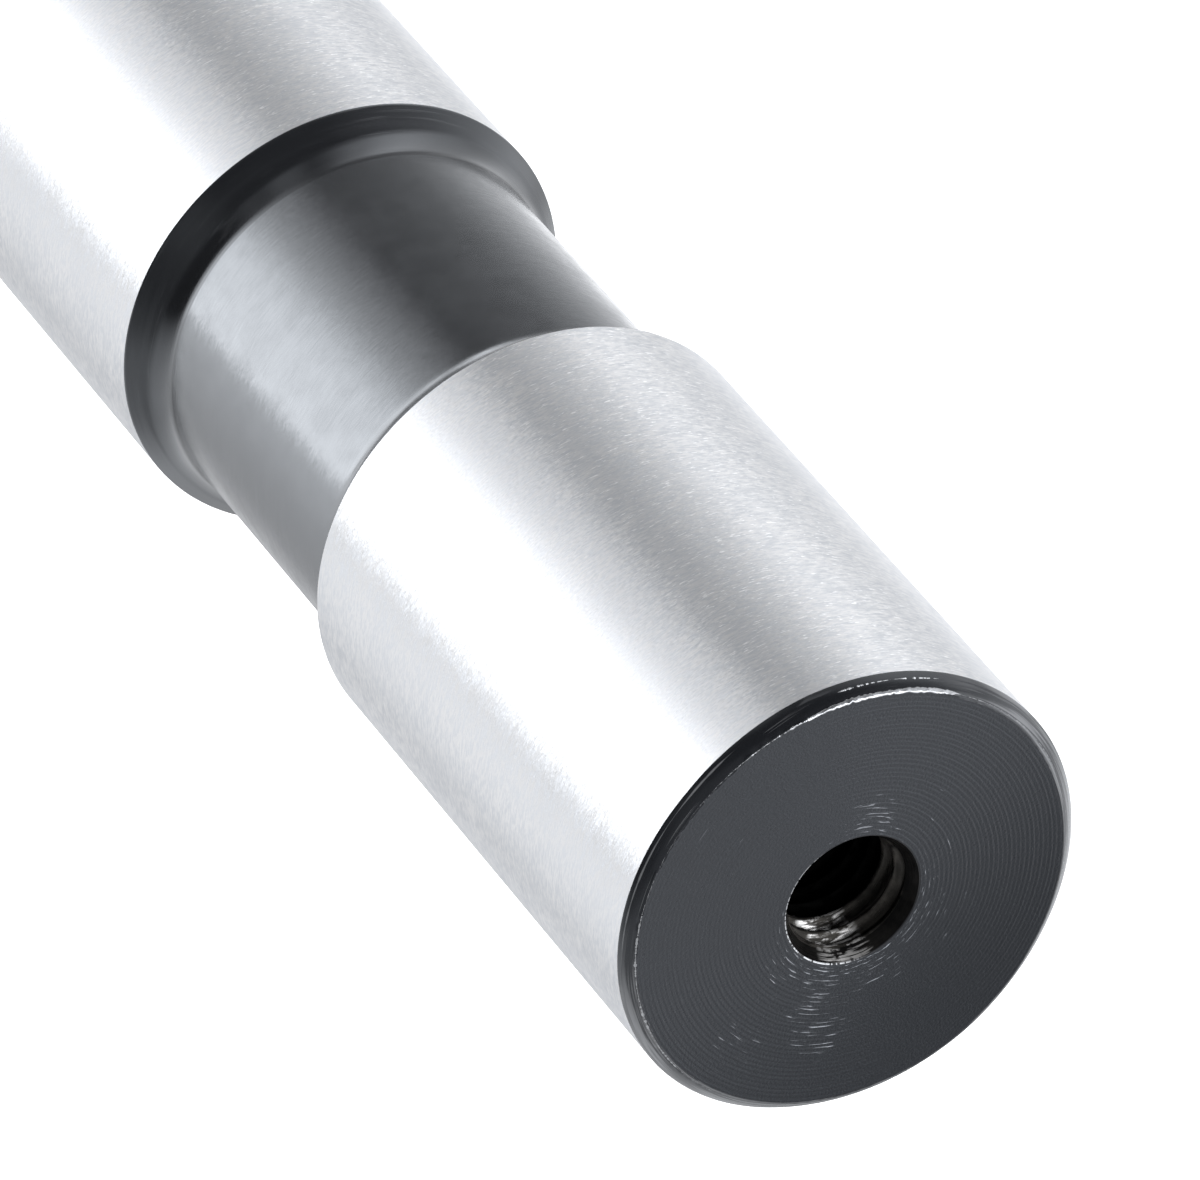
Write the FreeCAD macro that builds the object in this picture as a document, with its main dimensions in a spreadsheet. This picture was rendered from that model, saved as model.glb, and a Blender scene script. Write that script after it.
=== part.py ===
import FreeCAD, Part
import math
import os
import Sketcher

# Straight shank arbor, turned from one bar: two ground lands of one diameter, a relieved neck
# between them, and a tapped hole for a drawbar screw in the upper end.
# The axis is Z. The plain lower end stands on Z = 0 and the tapped end looks up.

sizes = {
    "shank_dia": 20.0,  # both ground lands
    "shank_length": 100.0,  # plain end to tapped end
    "front_land": 27.5,  # tapped end to the neck's upper rim
    "relief_length": 18.5,  # neck, from rim to rim
    "relief_depth": 1.25,  # land surface down to neck surface
    "corner_radius": 2.0,  # left by the tool at both ends of the neck
    "rim_chamfer": 0.5,  # on the two rims beside the neck
    "end_chamfer": 0.6,  # on the outer edge of both ends
    "tap_drill": 5.0,  # hole before threading
    "tap_depth": 18.0,  # drilled depth, without the point of the drill
    "mouth_dia": 5.9,  # lead-in cone where it meets the end face
    "mouth_angle": 60.0,  # lead-in cone, full angle
    "point_angle": 118.0,  # bottom of the drilled hole, full angle
}
overcut = 1.0  # how far the neck's cutting profile stands outside the bar

os.makedirs("parts", exist_ok=True)
doc = FreeCAD.newDocument("straight_shank_arbor")
sheet = doc.addObject("Spreadsheet::Sheet", "sizes")
for row, (alias, value) in enumerate(sizes.items(), start=1):
    sheet.set(f"A{row}", alias)
    sheet.set(f"B{row}", str(value))
    sheet.setAlias(f"B{row}", alias)
doc.recompute()


def add_sketch(body, name, role):
    """An empty sketch on one of the body's own origin planes."""
    plane = next(item for item in body.Origin.OriginFeatures if item.Role == role)
    sketch = body.newObject("Sketcher::SketchObject", name)
    sketch.AttachmentSupport = (plane, [""])
    sketch.MapMode = "FlatFace"
    return sketch


def add_loop(sketch, pieces, smooth_ends=()):
    """Adds lines and arcs in order round a loop and joins each to the next.

    A joint is smooth where the piece before it is listed in smooth_ends.
    """
    sketch.addGeometry(pieces, False)
    for piece in range(len(pieces)):
        joint = "Tangent" if piece in smooth_ends else "Coincident"
        sketch.addConstraint(Sketcher.Constraint(joint, piece, 2, (piece + 1) % len(pieces), 1))


def place_start(sketch, piece, radius=None, height=None):
    """Holds the start point of a piece, where it is drawn, at formulas of the sheet's sizes."""
    start = sketch.Geometry[piece].StartPoint
    for kind, drawn, formula in (("DistanceX", start.x, radius), ("DistanceY", start.y, height)):
        if formula:
            number = sketch.addConstraint(Sketcher.Constraint(kind, -1, 1, piece, 1, drawn))
            sketch.setExpression(f"Constraints[{number}]", formula)


def rim_edges(shape, radius, heights):
    """Names of the circles about Z that have this radius and lie at one of these heights."""
    names = []
    for number, edge in enumerate(shape.Edges, start=1):
        curve = edge.Curve
        if isinstance(curve, Part.Circle) and math.isclose(curve.Radius, radius):
            if any(math.isclose(curve.Center.z, height, abs_tol=1e-6) for height in heights):
                names.append(f"Edge{number}")
    return names


def point(radius, height):
    """A point of a profile, which lies beside the axis in the XZ plane."""
    return FreeCAD.Vector(radius, height, 0)


def corner_arc(centre, start_angle, end_angle):
    """An arc of the neck's corner radius, counter-clockwise."""
    circle = Part.Circle(centre, FreeCAD.Vector(0, 0, 1), sizes["corner_radius"])
    return Part.ArcOfCircle(circle, start_angle, end_angle)


arbor = doc.addObject("PartDesign::Body", "arbor")
arbor.Label = "arbor"

# The bar: a rectangle beside the axis, revolved.
shank_radius = sizes["shank_dia"] / 2
shank_length = sizes["shank_length"]
bar_profile = add_sketch(arbor, "bar_profile", "XZ_Plane")
add_loop(
    bar_profile,
    [
        Part.LineSegment(point(0, 0), point(shank_radius, 0)),
        Part.LineSegment(point(shank_radius, 0), point(shank_radius, shank_length)),
        Part.LineSegment(point(shank_radius, shank_length), point(0, shank_length)),
        Part.LineSegment(point(0, shank_length), point(0, 0)),
    ],
)
bar_profile.addConstraint(Sketcher.Constraint("Coincident", 0, 1, -1, 1))
bar_profile.addConstraint(Sketcher.Constraint("Horizontal", 0))
bar_profile.addConstraint(Sketcher.Constraint("Vertical", 1))
bar_profile.addConstraint(Sketcher.Constraint("Horizontal", 2))
bar_profile.addConstraint(Sketcher.Constraint("Vertical", 3))
place_start(bar_profile, 2, "sizes.shank_dia / 2", "sizes.shank_length")

bar = arbor.newObject("PartDesign::Revolution", "bar")
bar.Profile = bar_profile
bar.ReferenceAxis = (bar_profile, ["V_Axis"])
bar.Angle = 360
doc.recompute()

# The neck: a groove whose profile leaves the neck by a tangent corner radius at both ends and
# passes out through the land's surface at 45 degrees, which leaves the two rim chamfers.
upper_rim = shank_length - sizes["front_land"]
lower_rim = upper_rim - sizes["relief_length"]
chamfer = sizes["rim_chamfer"]
neck_radius = shank_radius - sizes["relief_depth"]
corner_rise = sizes["relief_depth"] - chamfer
corner_turn = math.acos(1 - corner_rise / sizes["corner_radius"])
corner_run = sizes["corner_radius"] * math.sin(corner_turn)
neck_top = upper_rim - chamfer - corner_run
neck_bottom = lower_rim + chamfer + corner_run
corner_centre = neck_radius + sizes["corner_radius"]

relief_profile = add_sketch(arbor, "relief_profile", "XZ_Plane")
lower_corner = point(shank_radius - chamfer, lower_rim + chamfer)
lower_outside = point(shank_radius + overcut, lower_rim - overcut)
upper_outside = point(shank_radius + overcut, upper_rim + overcut)
upper_corner = point(shank_radius - chamfer, upper_rim - chamfer)
add_loop(
    relief_profile,
    [
        Part.LineSegment(point(neck_radius, neck_top), point(neck_radius, neck_bottom)),
        corner_arc(point(corner_centre, neck_bottom), math.pi, math.pi + corner_turn),
        Part.LineSegment(lower_corner, lower_outside),
        Part.LineSegment(lower_outside, upper_outside),
        Part.LineSegment(upper_outside, upper_corner),
        corner_arc(point(corner_centre, neck_top), math.pi - corner_turn, math.pi),
    ],
    smooth_ends=(0, 5),
)
inner_radius = "sizes.shank_dia / 2 - sizes.rim_chamfer"
outer_radius = f"sizes.shank_dia / 2 + {overcut}"
upper_formula = "sizes.shank_length - sizes.front_land"
lower_formula = f"{upper_formula} - sizes.relief_length"
place_start(relief_profile, 0, "sizes.shank_dia / 2 - sizes.relief_depth")
place_start(relief_profile, 2, inner_radius, f"{lower_formula} + sizes.rim_chamfer")
place_start(relief_profile, 3, outer_radius, f"{lower_formula} - {overcut}")
place_start(relief_profile, 4, outer_radius, f"{upper_formula} + {overcut}")
place_start(relief_profile, 5, inner_radius, f"{upper_formula} - sizes.rim_chamfer")
relief_profile.addConstraint(Sketcher.Constraint("Vertical", 0))
for corner in (1, 5):
    drawn = sizes["corner_radius"]
    number = relief_profile.addConstraint(Sketcher.Constraint("Radius", corner, drawn))
    relief_profile.setExpression(f"Constraints[{number}]", "sizes.corner_radius")

relief = arbor.newObject("PartDesign::Groove", "relief")
relief.Profile = relief_profile
relief.ReferenceAxis = (relief_profile, ["V_Axis"])
relief.Angle = 360
doc.recompute()

# The outer edges of both ends.
end_edges = arbor.newObject("PartDesign::Chamfer", "end_edges")
end_edges.Base = (relief, rim_edges(relief.Shape, shank_radius, (0, shank_length)))
end_edges.setExpression("Size", "sizes.end_chamfer")
doc.recompute()

# The drawbar hole: drilled from the upper end, with a lead-in cone at its mouth.
hole_centre = add_sketch(arbor, "hole_centre", "XY_Plane")
hole_centre.setExpression("AttachmentOffset.Base.z", "sizes.shank_length")
drill_circle = Part.Circle(point(0, 0), FreeCAD.Vector(0, 0, 1), sizes["tap_drill"] / 2)
hole_centre.addGeometry(drill_circle, False)
hole_centre.addConstraint(Sketcher.Constraint("Coincident", 0, 3, -1, 1))
number = hole_centre.addConstraint(Sketcher.Constraint("Diameter", 0, sizes["tap_drill"]))
hole_centre.setExpression(f"Constraints[{number}]", "sizes.tap_drill")
doc.recompute()

drawbar_hole = arbor.newObject("PartDesign::Hole", "drawbar_hole")
drawbar_hole.Profile = hole_centre
drawbar_hole.DepthType = "Dimension"
drawbar_hole.HoleCutType = "Countersink"
drawbar_hole.DrillPoint = "Angled"
drawbar_hole.setExpression("Diameter", "sizes.tap_drill")
drawbar_hole.setExpression("Depth", "sizes.tap_depth")
drawbar_hole.setExpression("HoleCutDiameter", "sizes.mouth_dia")
drawbar_hole.setExpression("HoleCutCountersinkAngle", "sizes.mouth_angle")
drawbar_hole.setExpression("DrillPointAngle", "sizes.point_angle")
doc.recompute()

# Nothing may be left failed or loose, and every cut must have taken its metal away.
for item in doc.Objects:
    if "Invalid" in item.State or "Error" in item.State:
        raise RuntimeError(f"{item.Name} failed: {item.State}")
for sketch in (bar_profile, relief_profile, hole_centre):
    if not sketch.FullyConstrained:
        raise RuntimeError(f"{sketch.Name} isn't fully constrained")
for before, after in ((bar, relief), (relief, end_edges), (end_edges, drawbar_hole)):
    if after.Shape.Volume >= before.Shape.Volume:
        raise RuntimeError(f"{after.Name} cut nothing")
if arbor.Shape.isNull() or not arbor.Shape.isValid() or len(arbor.Shape.Solids) != 1:
    raise RuntimeError("the arbor isn't one valid solid")

arbor.Shape.exportStep(f"parts/{arbor.Label}.step")
box = arbor.Shape.optimalBoundingBox()
print(f"{arbor.Label}: {box.XLength:.2f} x {box.YLength:.2f} x {box.ZLength:.2f} mm, ", end="")
print(f"{arbor.Shape.Volume / 1000:.2f} cubic cm")
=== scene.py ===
from math import acos, cos, pi, radians, sin, tan
import bpy
import numpy as np
from mathutils import Matrix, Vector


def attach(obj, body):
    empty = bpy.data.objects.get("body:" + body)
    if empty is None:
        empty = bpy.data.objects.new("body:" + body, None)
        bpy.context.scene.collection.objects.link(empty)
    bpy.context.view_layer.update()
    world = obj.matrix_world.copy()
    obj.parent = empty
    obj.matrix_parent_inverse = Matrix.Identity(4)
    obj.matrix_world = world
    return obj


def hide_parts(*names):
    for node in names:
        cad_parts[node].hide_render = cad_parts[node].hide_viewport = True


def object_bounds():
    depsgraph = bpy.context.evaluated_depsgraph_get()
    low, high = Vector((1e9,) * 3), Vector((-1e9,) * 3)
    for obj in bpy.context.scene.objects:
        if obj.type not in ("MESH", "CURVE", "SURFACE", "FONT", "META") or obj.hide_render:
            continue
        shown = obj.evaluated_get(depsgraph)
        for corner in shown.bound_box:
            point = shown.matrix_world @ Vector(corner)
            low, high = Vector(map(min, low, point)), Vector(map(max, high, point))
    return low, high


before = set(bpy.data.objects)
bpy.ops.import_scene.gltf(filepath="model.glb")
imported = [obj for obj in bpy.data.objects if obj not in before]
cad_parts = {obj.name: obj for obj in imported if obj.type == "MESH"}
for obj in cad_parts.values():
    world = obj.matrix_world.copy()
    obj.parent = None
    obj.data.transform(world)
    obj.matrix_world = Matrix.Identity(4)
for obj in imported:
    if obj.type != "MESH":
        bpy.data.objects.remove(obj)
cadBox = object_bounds()
mm = 0.001
print("frame loaded")

# Camera, at the photograph's angle
cameraView = {
    "imageSize": (1200, 1180),
    "lens": 360.0,
    "sensor": 36.0,
    "offAxis": 42.87,  # degrees between the arbor's axis and the line of sight
    "shaftTurn": -131.16,  # degrees, where the shaft runs to in the picture, clockwise from its right
    "faceAt": (853.1, 900.1),  # pixels, where the tapped face's centre stands
    "faceDistance": 466.7 * mm,
}


def placeCamera(view):
    # directions here are in the camera's own axes: right, down, ahead
    width, height = view["imageSize"]
    focal = view["lens"] / view["sensor"] * width
    away, turn = radians(view["offAxis"]), radians(view["shaftTurn"])
    across, downward = view["faceAt"]
    face = np.array([(across - width / 2) / focal, (downward - height / 2) / focal, 1.0])
    face *= view["faceDistance"]
    shaft = np.array([sin(away) * cos(turn), sin(away) * sin(turn), cos(away)])
    front = -face / np.linalg.norm(face)
    front -= (front @ shaft) * shaft
    front /= np.linalg.norm(front)
    partAxes = np.stack([np.cross(front, shaft), -front, -shaft])
    place = np.array([0, 0, cadBox[1].z]) - partAxes @ face
    camera = bpy.data.objects.new("camera", bpy.data.cameras.new("camera"))
    bpy.context.scene.collection.objects.link(camera)
    camera.data.lens, camera.data.sensor_width = view["lens"], view["sensor"]
    camera.data.clip_start = 10 * mm
    columns = np.stack([partAxes[:, 0], -partAxes[:, 1], -partAxes[:, 2], place], axis=1)
    camera.matrix_world = Matrix([*columns.tolist(), [0, 0, 0, 1]])
    bpy.context.scene.camera = camera


placeCamera(cameraView)
print("camera placed")

# The arbor, one turned piece, in millimetres from its plain end up to its tapped end
arborShape = {
    "radius": (cadBox[1].x - cadBox[0].x) / 2 / mm,
    "length": (cadBox[1].z - cadBox[0].z) / mm,
    "endChamfer": 0.6,
    "frontLand": 27.5,
    "relief": 18.5,
    "reliefDepth": 1.25,
    "cornerRadius": 2.0,
    "rimChamfer": 0.5,
    "edge": 0.05,  # rounding of the sharp edges
    "bulge": 0.05,  # how far the tapped end's chamfer stands out of its straight line
    "inset": 0.05,  # short run beside each edge, so that the shading stays flat up to it
    "faceFrom": 0.055,  # face finish begins this far inside the chamfer
    "joinAt": 0.6,  # face joins the hole's rows this far outside the mouth
    "segments": 432,
}
# The hole: radii, and depths from the face, in mm; angles in degrees from the axis
boreShape = {
    "segments": 144,  # a third of the outside's
    "drill": 2.5,
    "drilled": 18.0,
    "mouth": 2.95,
    "lip": [(0.15, 0.0), (0.04, 0.0), (0.012, 0.004)],  # rows round the mouth, how far out and down
    "leadAngle": 30.0,
    "pointAngle": 59.0,
    "minor": 2.46,
    "major": 3.0,
    "pitch": 1.0,
    "entry": (0.35, 0.9),  # where the thread begins, and what it takes to reach its full depth
    "runOut": (14.0, 1.2),  # where it ends, and what it takes to run out
    "threaded": 14.5,  # rows of the thread end here
    "firstRows": (0.015, 0.04),  # below the lip
    "rowsFrom": 0.08,
    "footRow": 0.05,  # a last row this far above the foot of the wall
    "openTurns": 4,  # turns near the mouth, with finer rows
    "openRows": 20,
    "deepRows": 10,
    "worn": (0.05, 0.03),  # how far out and down the lip's finish reaches
    "lead": 0.55,  # how far down the lead cone's finish reaches
    "open": 2.7,  # how far down the open turns' finish reaches; below it the hole is in near-black painted shade
}
rimShape = {
    "burr": 0.012,  # how far the rolled edge stands up, in mm
    "burrWidth": 0.05,
    "spread": 0.12,  # how far it wanders sideways
    "spreadWidth": 0.06,
    "reach": 0.2,  # rows this far from the chamfer are carried too
    "seed": 11,
    "waves": 200,  # the finest waves round the rim
    "bites": (-0.25, 0.6),  # the least and most that the ragged edge may reach
    # by the degrees round the arbor: how ragged the inner edge is, how far the chamfer starts outside
    # its nominal radius, and how much further down than its nominal height it ends
    "raggedAt": {-80: 0.2, -55: 1, 80: 1, 110: 0.3},
    "top": {
        -180: 0.1, -165: 0.03, -150: -0.04, -110: -0.06, -80: -0.02, -64: 0.01, -50: 0.1, -10: 0.1, 0: 0.07,
        40: 0.1, 90: 0.05, 120: 0.0, 150: 0.08, 180: 0.1,
    },
    "foot": {-180: 0, -75: 0, -45: 0.08, -22: 0.08, 12: -0.12, 50: -0.11, 90: -0.07, 130: 0, 180: 0},
}


def turnedOutline(corners):
    # corners are (radius, height, rounding, finish of the run after it); a parabola leads round a
    # rounded corner, which never takes the ground finish, and a long run has a short one at each end
    place = np.array([corner[:2] for corner in corners])
    rows, finishes = [place[:1]], []
    for index, (_, _, rounding, finish) in enumerate(corners[1:], 1):
        before = place[index] - place[index - 1]
        reach = np.linalg.norm(before)
        before = before / reach
        start = rows[-1][-1]
        end = place[index] - before * rounding
        inset = arborShape["inset"]
        run = [start + before * inset, end - before * inset, end] if reach > 8 * inset else [end]
        rows.append(np.array(run))
        finishes += [corners[index - 1][3]] * len(run)
        if rounding:
            after = place[index + 1] - place[index]
            after = after / np.linalg.norm(after)
            share = np.linspace(0.25, 1, 4)[:, None]
            bend = (1 - share) ** 2 * end + 2 * share * (1 - share) * place[index]
            rows.append(bend + share**2 * (place[index] + after * rounding))
            finishes += [finish if finish != "ground" else corners[index - 1][3]] * 4
    return np.concatenate(rows), finishes


def reliefCorner(shape, height, upward):
    # arc of the relief's corner radius between neck and rim chamfer, as outline corners
    rise = shape["reliefDepth"] - shape["rimChamfer"]
    sweep = acos(1 - rise / shape["cornerRadius"])
    angles = np.linspace(sweep, 0, 15)
    radii = shape["radius"] - shape["reliefDepth"] + shape["cornerRadius"] * (1 - np.cos(angles))
    heights = shape["cornerRadius"] * (sin(sweep) - np.sin(angles))
    if not upward:
        radii, heights = radii[::-1], -heights[::-1]
    return [(r, height + h, 0, "shoulder") for r, h in zip(radii, heights)]


def arborOutline(shape, bore):
    radius, length, chamfer = shape["radius"], shape["length"], shape["endChamfer"]
    rim, edge = shape["rimChamfer"], shape["edge"]
    topRim = length - shape["frontLand"]
    lowRim = topRim - shape["relief"]
    lower = reliefCorner(shape, lowRim + rim, True)
    upper = reliefCorner(shape, topRim - rim, False)
    upper = [(*corner[:3], "neck") for corner in upper[:-1]] + upper[-1:]
    lower[-1] = (*lower[-1][:3], "neck")
    share = np.linspace(0, 1, 6)[1:-1]
    rounded = shape["bulge"] * 4 * share * (1 - share) / 2**0.5
    slope = np.stack([radius - chamfer * share + rounded, length - chamfer * (1 - share) + rounded], axis=1)
    return turnedOutline(
        [
            (0, 0, 0, "face"),
            (radius - chamfer, 0, edge, "shoulder"),
            (radius, chamfer, edge, "ground"),
            (radius, lowRim, edge, "shoulder"),
            *lower,
            *upper,
            (radius, topRim, edge, "ground"),
            (radius, length - chamfer, edge, "rim"),
            *[(r, h, 0, "rim") for r, h in slope],
            (radius - chamfer, length, edge, "rim"),
            (radius - chamfer - shape["faceFrom"], length, 0, "face"),
            (bore["mouth"] + shape["joinAt"], length, 0, "face"),
        ]
    )


def boreRows(bore, top):
    # heights of the rows down the hole: below the lip, fine rows, coarser rows, foot of the wall
    fine = np.arange(bore["openRows"] * bore["openTurns"]) / bore["openRows"] * bore["pitch"]
    coarse = np.arange(0, bore["threaded"] - bore["openTurns"], 1 / bore["deepRows"])
    start = bore["rowsFrom"]
    depth = np.concatenate([bore["firstRows"], start + fine, start + bore["openTurns"] + coarse])
    depth = np.append(depth, [bore["drilled"] - bore["footRow"], bore["drilled"]])
    return top - depth


def boreRadius(bore, top, height, turn):
    # the lead cone, or the thread where that is wider: a right-hand 60 degree thread whose flats
    # are a quarter of the pitch at the root and an eighth at the crest, fading in and out
    entryAt, entryRun = bore["entry"]
    endAt, endRun = bore["runOut"]
    depth = top - height
    cone = bore["mouth"] - depth * tan(radians(bore["leadAngle"]))
    phase = (height / bore["pitch"] - turn / (2 * pi)) % 1.0
    slope = np.clip((0.4375 - np.abs(phase - 0.5)) / 0.3125, 0, 1)
    entry = np.clip((depth - entryAt) / entryRun, 0, 1)
    runOut = np.clip((endAt - depth) / endRun, 0, 1)
    fade = entry * runOut
    thread = bore["drill"] * (1 - fade) + fade * (bore["minor"] + (bore["major"] - bore["minor"]) * slope)
    return np.maximum(cone, thread)


def smoothWave(turn, seed, waves, low=3):
    # sum of cosines round the turn with seeded sizes and phases, scaled to stay within -1 and 1
    chance = np.random.default_rng(seed)
    order = chance.integers(low, waves, 60)
    phase = chance.uniform(0, 2 * pi, 60)
    size = chance.uniform(0.4, 1, 60)
    total = (size[:, None] * np.cos(order[:, None] * turn[None, :] + phase[:, None])).sum(0)
    return total / np.abs(total).max()


def readRound(table, degrees):
    # a table's value at each direction round the arbor, in straight lines between its entries
    return np.interp(degrees, list(table), list(table.values()))


def moveRim(outline, radii, heights, turn):
    # carries the faced end's chamfer by its wander, and its inner edge by a ragged burr: both are
    # bell curves of the distance from the edge, times the ragged wave
    chamfer = arborShape["endChamfer"]
    inner = arborShape["radius"] - chamfer
    lowest = arborShape["length"] - chamfer - rimShape["reach"]
    rows = (outline[:, 1] > lowest) & (outline[:, 0] > inner - rimShape["reach"])
    degrees = (np.degrees(turn) + 180) % 360 - 180
    ragged = np.clip(smoothWave(turn, rimShape["seed"], rimShape["waves"]), *rimShape["bites"])
    ragged *= readRound(rimShape["raggedAt"], degrees)
    away = radii[rows] - inner
    outside = np.maximum(away, 0)
    across = np.clip(away / chamfer, 0, 1)
    rolled = rimShape["burr"] * np.exp(-((away / rimShape["burrWidth"]) ** 2)) * ragged
    bitten = rimShape["spread"] * np.exp(-((outside / rimShape["spreadWidth"]) ** 2)) * ragged
    heights[rows] += rolled - across * readRound(rimShape["foot"], degrees)
    radii[rows] += bitten + (1 - across) * readRound(rimShape["top"], degrees)


def ringPoints(radius, height, angle):
    # the angle counts from the side that faces -Y and grows towards +X
    x, y = radius * np.sin(angle), -radius * np.cos(angle)
    return np.stack([x, y, height + 0 * angle], axis=-1).reshape(-1, 3)


def lengthAlong(line):
    # distance travelled along a line to each of its points
    return np.concatenate([[0], np.cumsum(np.hypot(*np.diff(line, axis=0).T))])


def uvPairs(around, along):
    return np.stack([around, np.broadcast_to(along, around.shape)], axis=-1)


def wrappedQuads(first, width, along):
    # quads between rings of points, with their corners in the order that faces outwards; along is
    # each ring's share of the way along the outline
    row, column = np.meshgrid(np.arange(len(along) - 1), np.arange(width), indexing="ij")
    low, high = first + row * width, first + (row + 1) * width
    step = (column + 1) % width
    quads = np.stack([low + column, low + step, high + step, high + column], axis=-1)
    around = np.stack([column, column + 1, column + 1, column], axis=-1) / width
    uv = uvPairs(around, np.stack([along[row], along[row], along[row + 1], along[row + 1]], axis=-1))
    return quads.reshape(-1, 4), uv.reshape(-1, 4, 2)


def fanTriangles(centre, first, width, along, outward):
    # triangles from a centre to the ring that begins at the first point; along is the share of the
    # way at the centre and at the ring
    column = np.arange(width)
    step = (column + 1) % width
    triangles = np.stack([0 * column + centre, first + step, first + column], axis=-1)
    around = np.stack([column + 0.5, column + 1, column], axis=-1) / width
    uv = uvPairs(around, [along[0], along[1], along[1]])
    return (triangles, uv) if outward else (triangles[:, ::-1], uv[:, ::-1])


def joinRings(outer, inner, few, outAlong, inAlong):
    # three columns of the outer ring meet one of the inner: a triangle, a quad and a triangle
    column = np.arange(few)
    a, b, c, d = (outer + (3 * column + k) % (3 * few) for k in range(4))
    e, f = inner + column, inner + (column + 1) % few
    triangles = np.concatenate([np.stack([a, b, e], axis=1), np.stack([c, d, f], axis=1)])
    quads = np.stack([b, c, f, e], axis=1)
    third = 1 / (3 * few)
    at = [column / few + k * third for k in range(4)]
    sides = np.concatenate([np.stack([at[0], at[1], at[0]], axis=1), np.stack([at[2], at[3], at[3]], axis=1)])
    triangleUv = uvPairs(sides, [outAlong, outAlong, inAlong])
    quadUv = uvPairs(np.stack([at[1], at[2], at[3], at[0]], axis=1), [outAlong, outAlong, inAlong, inAlong])
    return triangles, triangleUv, quads, quadUv


def turnedMesh(name, vertices, quads, triangles, uv, slotOf):
    mesh = bpy.data.meshes.new(name)
    loops = np.concatenate([quads.ravel(), triangles.ravel()]).astype(np.int32)
    sizes = np.repeat([4, 3], [len(quads), len(triangles)])
    starts = np.concatenate([[0], np.cumsum(sizes)[:-1]]).astype(np.int32)
    mesh.vertices.add(len(vertices))
    mesh.vertices.foreach_set("co", vertices.ravel())
    mesh.loops.add(len(loops))
    mesh.loops.foreach_set("vertex_index", loops)
    mesh.polygons.add(len(sizes))
    mesh.polygons.foreach_set("loop_start", starts)
    mesh.polygons.foreach_set("material_index", slotOf.astype(np.int32))
    mesh.polygons.foreach_set("use_smooth", np.ones(len(sizes), dtype=bool))
    mesh.uv_layers.new(name="turned").data.foreach_set("uv", uv)
    mesh.update(calc_edges=True)
    mesh.validate()
    return mesh


def boreFinishes(bore, top, radii, heights, slots):
    # the finish of each row of the hole, by its width at the mouth and then by its depth
    depths = top - heights
    outside, under = bore["worn"]
    face = radii > bore["mouth"] + outside
    within = [face, depths < under, depths < bore["lead"], depths < bore["open"]]
    reached = [slots.index(finish) for finish in ("face", "lip", "lead", "tapped")]
    return np.select(within, reached, slots.index("bore"))


def buildArbor():
    outline, finishes = arborOutline(arborShape, boreShape)
    count, few = arborShape["segments"], boreShape["segments"]
    turn = np.arange(count) * 2 * pi / count
    radii = np.repeat(outline[1:, :1], count, axis=1)
    heights = np.repeat(outline[1:, 1:], count, axis=1)
    moveRim(outline[1:], radii, heights, turn)

    top = arborShape["length"]
    fewTurn = np.arange(few) * 2 * pi / few
    rowHeights = boreRows(boreShape, top)
    lip = np.array(boreShape["lip"]) * [1, -1] + [boreShape["mouth"], top]
    wall = boreRadius(boreShape, top, rowHeights[:, None], fewTurn[None, :])
    boreRadii = np.concatenate([np.repeat(lip[:, :1], few, axis=1), wall])
    boreHeights = np.concatenate([lip[:, 1], rowHeights])[:, None] + 0 * fewTurn
    tip = top - boreShape["drilled"] - boreShape["drill"] / tan(radians(boreShape["pointAngle"]))

    outer = ringPoints(radii, heights, turn)
    inner = ringPoints(boreRadii, boreHeights, fewTurn)
    vertices = np.concatenate([[[0, 0, 0]], outer, inner, [[0, 0, tip]]]) * mm
    firstInner = 1 + len(outer)
    lastOuter = firstInner - count
    lastInner = len(vertices) - 1 - few

    # the map runs along the outline, over the face and down the hole to the drill's point
    travel = lengthAlong(outline)
    gap = outline[-1, 0] - lip[0, 0]
    down = np.concatenate([lip, np.stack([boreShape["drill"] + 0 * rowHeights, rowHeights], axis=1)])
    innerTravel = travel[-1] + gap + lengthAlong(down)
    total = innerTravel[-1] + 3.0  # about what the drill's point takes
    outAlong, inAlong = travel / total, innerTravel / total

    quads, quadUv = wrappedQuads(1, count, outAlong[1:])
    boreQuads, boreUv = wrappedQuads(firstInner, few, inAlong)
    joinTriangles, joinTriangleUv, joinQuads, joinQuadUv = joinRings(
        lastOuter, firstInner, few, outAlong[-1], inAlong[0]
    )
    endTriangles, endUv = fanTriangles(0, 1, count, (0, outAlong[1]), True)
    tipTriangles, tipUv = fanTriangles(len(vertices) - 1, lastInner, few, (1, inAlong[-1]), False)
    allQuads = np.concatenate([quads, boreQuads, joinQuads])
    triangles = np.concatenate([joinTriangles, endTriangles, tipTriangles])
    uvParts = (quadUv, boreUv, joinQuadUv, joinTriangleUv, endUv, tipUv)
    uv = np.concatenate([part.ravel() for part in uvParts])

    slots = list(finishMakers)
    face, bore = slots.index("face"), slots.index("bore")
    outerSlots = np.repeat([slots.index(finish) for finish in finishes[1:]], count)
    rowSlots = boreFinishes(boreShape, top, boreRadii[:-1, 0], boreHeights[:-1, 0], slots)
    joinSlots = np.repeat([face, bore], [3 * few + count, few])  # quads, both triangles, end, tip
    slotOf = np.concatenate([outerSlots, np.repeat(rowSlots, few), joinSlots])

    mesh = turnedMesh("arborTurned", vertices, allQuads, triangles, uv, slotOf)
    for name in slots:
        mesh.materials.append(finishMakers[name]())
    piece = bpy.data.objects.new("arborTurned", mesh)
    bpy.context.scene.collection.objects.link(piece)
    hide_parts("arbor")
    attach(piece, "root")
    return piece


# Finishes
def addNode(tree, kind, **inputs):
    # a shader node; keywords are its properties, or its sockets where the name is written with a capital
    node = tree.nodes.new("ShaderNode" + kind)
    for name, value in inputs.items():
        if name[0].islower():
            setattr(node, name, value)
        else:
            setSocket(tree, node, name.replace("_", " "), value)
    return node


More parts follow.
